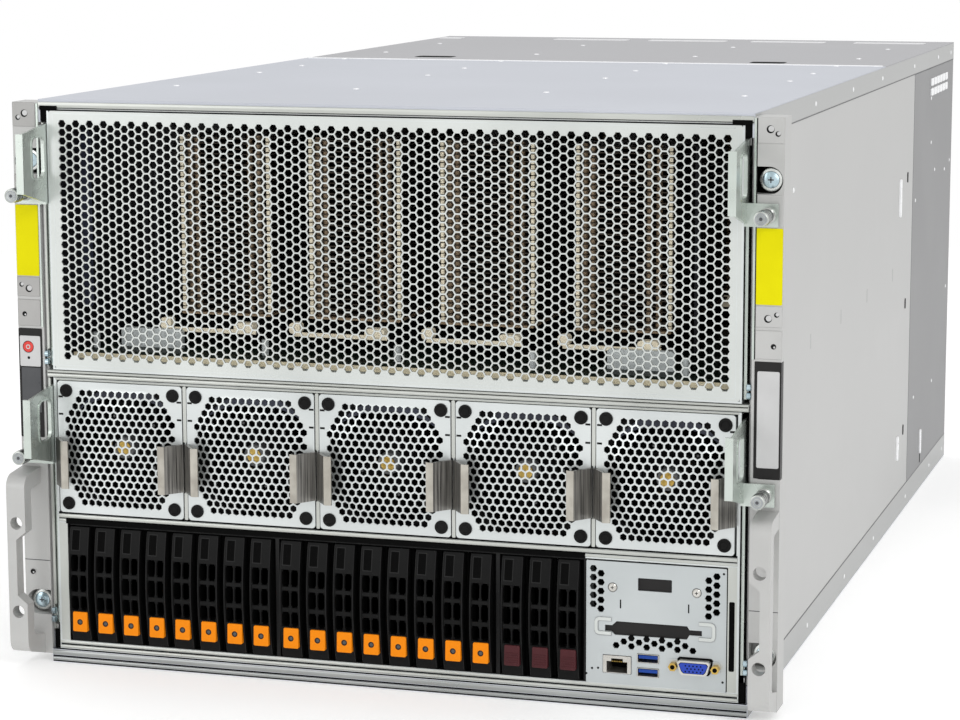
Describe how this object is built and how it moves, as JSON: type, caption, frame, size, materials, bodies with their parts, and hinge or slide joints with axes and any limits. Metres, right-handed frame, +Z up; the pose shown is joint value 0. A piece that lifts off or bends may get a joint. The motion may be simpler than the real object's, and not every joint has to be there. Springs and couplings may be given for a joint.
{
  "type": "gpu server",
  "caption": "Rack server with a mesh-fronted upper accelerator tray, a row of fans, drive carriers and ports below, cast rack ears with grips, tray levers and rear power supplies.",
  "frame": {"origin": "middle of the bounding box at the underside of the case", "axes": "+Z up, +Y towards the back, +X to the right when seen from the front"},
  "size_m": [0.4826, 0.891, 0.3556],
  "materials": {
    "case_steel": "satin galvanised sheet",
    "tray_steel": "satin galvanised sheet",
    "door_steel": "satin",
    "ear_metal": "fine satin paint",
    "lever_steel": "bright zinc",
    "screw_steel": "zinc",
    "panel_black": "matte",
    "button_red": "satin",
    "board_green": "solder mask",
    "cooler_metal": "plain",
    "fan_metal": "satin",
    "rotor_plastic": "matte",
    "carrier_plastic": "matte",
    "port_metal": "plain",
    "supply_metal": "satin"
  },
  "bodies": {
    "chassis": {"chassis_floor": "case_steel", "side_wall_left": "case_steel", "side_wall_right": "case_steel", "top_cover_front": "case_steel", "top_cover_rear": "case_steel", "tray_shelf": "case_steel", "rear_panel": "case_steel", "rear_grille": "case_steel", "rack_ear_left": "ear_metal", "rack_ear_right": "ear_metal", "control_panel": "panel_black", "rack_screws": "screw_steel"},
    "power_button": {"power_button": "button_red"},
    "gpu_tray": {"gpu_tray_pan": "tray_steel", "gpu_door_grille": "door_steel", "gpu_baseboard": "board_green", "gpu_heatsinks": "cooler_metal"},
    "system_tray": {"system_tray_pan": "tray_steel", "fan_cage": "tray_steel", "drive_cage": "tray_steel", "io_panel": "tray_steel", "io_ports": "port_metal", "motherboard": "board_green"},
    "upper_lever_left": {"upper_lever_left": "lever_steel"},
    "lower_lever_left": {"lower_lever_left": "lever_steel"},
    "upper_lever_right": {"upper_lever_right": "lever_steel"},
    "lower_lever_right": {"lower_lever_right": "lever_steel"},
    "fan_1": {"fan_module_1": "fan_metal"},
    "rotor_1": {"fan_rotor_1": "rotor_plastic"},
    "fan_2": {"fan_module_2": "fan_metal"},
    "rotor_2": {"fan_rotor_2": "rotor_plastic"},
    "fan_3": {"fan_module_3": "fan_metal"},
    "rotor_3": {"fan_rotor_3": "rotor_plastic"},
    "fan_4": {"fan_module_4": "fan_metal"},
    "rotor_4": {"fan_rotor_4": "rotor_plastic"},
    "fan_5": {"fan_module_5": "fan_metal"},
    "rotor_5": {"fan_rotor_5": "rotor_plastic"},
    "drive_01": {"drive_carrier_01": "carrier_plastic"},
    "drive_02": {"drive_carrier_02": "carrier_plastic"},
    "drive_03": {"drive_carrier_03": "carrier_plastic"},
    "drive_04": {"drive_carrier_04": "carrier_plastic"},
    "drive_05": {"drive_carrier_05": "carrier_plastic"},
    "drive_06": {"drive_carrier_06": "carrier_plastic"},
    "drive_07": {"drive_carrier_07": "carrier_plastic"},
    "drive_08": {"drive_carrier_08": "carrier_plastic"},
    "drive_09": {"drive_carrier_09": "carrier_plastic"},
    "drive_10": {"drive_carrier_10": "carrier_plastic"},
    "drive_11": {"drive_carrier_11": "carrier_plastic"},
    "drive_12": {"drive_carrier_12": "carrier_plastic"},
    "drive_13": {"drive_carrier_13": "carrier_plastic"},
    "drive_14": {"drive_carrier_14": "carrier_plastic"},
    "drive_15": {"drive_carrier_15": "carrier_plastic"},
    "drive_16": {"drive_carrier_16": "carrier_plastic"},
    "drive_17": {"drive_carrier_17": "carrier_plastic"},
    "drive_18": {"drive_carrier_18": "carrier_plastic"},
    "drive_19": {"drive_carrier_19": "carrier_plastic"},
    "supply_1": {"power_supply_1": "supply_metal"},
    "supply_2": {"power_supply_2": "supply_metal"},
    "supply_3": {"power_supply_3": "supply_metal"},
    "supply_4": {"power_supply_4": "supply_metal"}
  },
  "joints": [
    {"name": "gpu_tray_slide", "type": "slide", "parent": "chassis", "child": "gpu_tray", "axis": [0, -1, 0], "range_m": [0, 0.45]},
    {"name": "system_tray_slide", "type": "slide", "parent": "chassis", "child": "system_tray", "axis": [0, -1, 0], "range_m": [0, 0.45]},
    {"name": "power_button_press", "type": "slide", "parent": "chassis", "child": "power_button", "axis": [0, 1, 0], "range_m": [0, 0.0012], "stiffness_N_per_m": 600, "springref_m": -0.0008},
    {"name": "upper_lever_left_pivot", "type": "hinge", "parent": "gpu_tray", "child": "upper_lever_left", "pos_m": [-0.21955, -0.4045, 0.1949], "axis": [1, 0, 0], "range_deg": [0, 70]},
    {"name": "lower_lever_left_pivot", "type": "hinge", "parent": "system_tray", "child": "lower_lever_left", "pos_m": [-0.21955, -0.4045, 0.03], "axis": [1, 0, 0], "range_deg": [0, 70]},
    {"name": "upper_lever_right_pivot", "type": "hinge", "parent": "gpu_tray", "child": "upper_lever_right", "pos_m": [0.21955, -0.4045, 0.1949], "axis": [1, 0, 0], "range_deg": [0, 70]},
    {"name": "lower_lever_right_pivot", "type": "hinge", "parent": "system_tray", "child": "lower_lever_right", "pos_m": [0.21955, -0.4045, 0.03], "axis": [1, 0, 0], "range_deg": [0, 70]},
    {"name": "fan_1_slide", "type": "slide", "parent": "system_tray", "child": "fan_1", "axis": [0, -1, 0], "range_m": [0, 0.1]},
    {"name": "rotor_1_spin", "type": "hinge", "parent": "fan_1", "child": "rotor_1", "pos_m": [-0.1734, -0.3835, 0.1392], "axis": [0, 1, 0], "continuous": true},
    {"name": "fan_2_slide", "type": "slide", "parent": "system_tray", "child": "fan_2", "axis": [0, -1, 0], "range_m": [0, 0.1]},
    {"name": "rotor_2_spin", "type": "hinge", "parent": "fan_2", "child": "rotor_2", "pos_m": [-0.0867, -0.3835, 0.1392], "axis": [0, 1, 0], "continuous": true},
    {"name": "fan_3_slide", "type": "slide", "parent": "system_tray", "child": "fan_3", "axis": [0, -1, 0], "range_m": [0, 0.1]},
    {"name": "rotor_3_spin", "type": "hinge", "parent": "fan_3", "child": "rotor_3", "pos_m": [0, -0.3835, 0.1392], "axis": [0, 1, 0], "continuous": true},
    {"name": "fan_4_slide", "type": "slide", "parent": "system_tray", "child": "fan_4", "axis": [0, -1, 0], "range_m": [0, 0.1]},
    {"name": "rotor_4_spin", "type": "hinge", "parent": "fan_4", "child": "rotor_4", "pos_m": [0.0867, -0.3835, 0.1392], "axis": [0, 1, 0], "continuous": true},
    {"name": "fan_5_slide", "type": "slide", "parent": "system_tray", "child": "fan_5", "axis": [0, -1, 0], "range_m": [0, 0.1]},
    {"name": "rotor_5_spin", "type": "hinge", "parent": "fan_5", "child": "rotor_5", "pos_m": [0.1734, -0.3835, 0.1392], "axis": [0, 1, 0], "continuous": true},
    {"name": "drive_01_slide", "type": "slide", "parent": "system_tray", "child": "drive_01", "axis": [0, -1, 0], "range_m": [0, 0.12]},
    {"name": "drive_02_slide", "type": "slide", "parent": "system_tray", "child": "drive_02", "axis": [0, -1, 0], "range_m": [0, 0.12]},
    {"name": "drive_03_slide", "type": "slide", "parent": "system_tray", "child": "drive_03", "axis": [0, -1, 0], "range_m": [0, 0.12]},
    {"name": "drive_04_slide", "type": "slide", "parent": "system_tray", "child": "drive_04", "axis": [0, -1, 0], "range_m": [0, 0.12]},
    {"name": "drive_05_slide", "type": "slide", "parent": "system_tray", "child": "drive_05", "axis": [0, -1, 0], "range_m": [0, 0.12]},
    {"name": "drive_06_slide", "type": "slide", "parent": "system_tray", "child": "drive_06", "axis": [0, -1, 0], "range_m": [0, 0.12]},
    {"name": "drive_07_slide", "type": "slide", "parent": "system_tray", "child": "drive_07", "axis": [0, -1, 0], "range_m": [0, 0.12]},
    {"name": "drive_08_slide", "type": "slide", "parent": "system_tray", "child": "drive_08", "axis": [0, -1, 0], "range_m": [0, 0.12]},
    {"name": "drive_09_slide", "type": "slide", "parent": "system_tray", "child": "drive_09", "axis": [0, -1, 0], "range_m": [0, 0.12]},
    {"name": "drive_10_slide", "type": "slide", "parent": "system_tray", "child": "drive_10", "axis": [0, -1, 0], "range_m": [0, 0.12]},
    {"name": "drive_11_slide", "type": "slide", "parent": "system_tray", "child": "drive_11", "axis": [0, -1, 0], "range_m": [0, 0.12]},
    {"name": "drive_12_slide", "type": "slide", "parent": "system_tray", "child": "drive_12", "axis": [0, -1, 0], "range_m": [0, 0.12]},
    {"name": "drive_13_slide", "type": "slide", "parent": "system_tray", "child": "drive_13", "axis": [0, -1, 0], "range_m": [0, 0.12]},
    {"name": "drive_14_slide", "type": "slide", "parent": "system_tray", "child": "drive_14", "axis": [0, -1, 0], "range_m": [0, 0.12]},
    {"name": "drive_15_slide", "type": "slide", "parent": "system_tray", "child": "drive_15", "axis": [0, -1, 0], "range_m": [0, 0.12]},
    {"name": "drive_16_slide", "type": "slide", "parent": "system_tray", "child": "drive_16", "axis": [0, -1, 0], "range_m": [0, 0.12]},
    {"name": "drive_17_slide", "type": "slide", "parent": "system_tray", "child": "drive_17", "axis": [0, -1, 0], "range_m": [0, 0.12]},
    {"name": "drive_18_slide", "type": "slide", "parent": "system_tray", "child": "drive_18", "axis": [0, -1, 0], "range_m": [0, 0.12]},
    {"name": "drive_19_slide", "type": "slide", "parent": "system_tray", "child": "drive_19", "axis": [0, -1, 0], "range_m": [0, 0.12]},
    {"name": "supply_1_slide", "type": "slide", "parent": "chassis", "child": "supply_1", "axis": [0, 1, 0], "range_m": [0, 0.2]},
    {"name": "supply_2_slide", "type": "slide", "parent": "chassis", "child": "supply_2", "axis": [0, 1, 0], "range_m": [0, 0.2]},
    {"name": "supply_3_slide", "type": "slide", "parent": "chassis", "child": "supply_3", "axis": [0, 1, 0], "range_m": [0, 0.2]},
    {"name": "supply_4_slide", "type": "slide", "parent": "chassis", "child": "supply_4", "axis": [0, 1, 0], "range_m": [0, 0.2]}
  ]
}
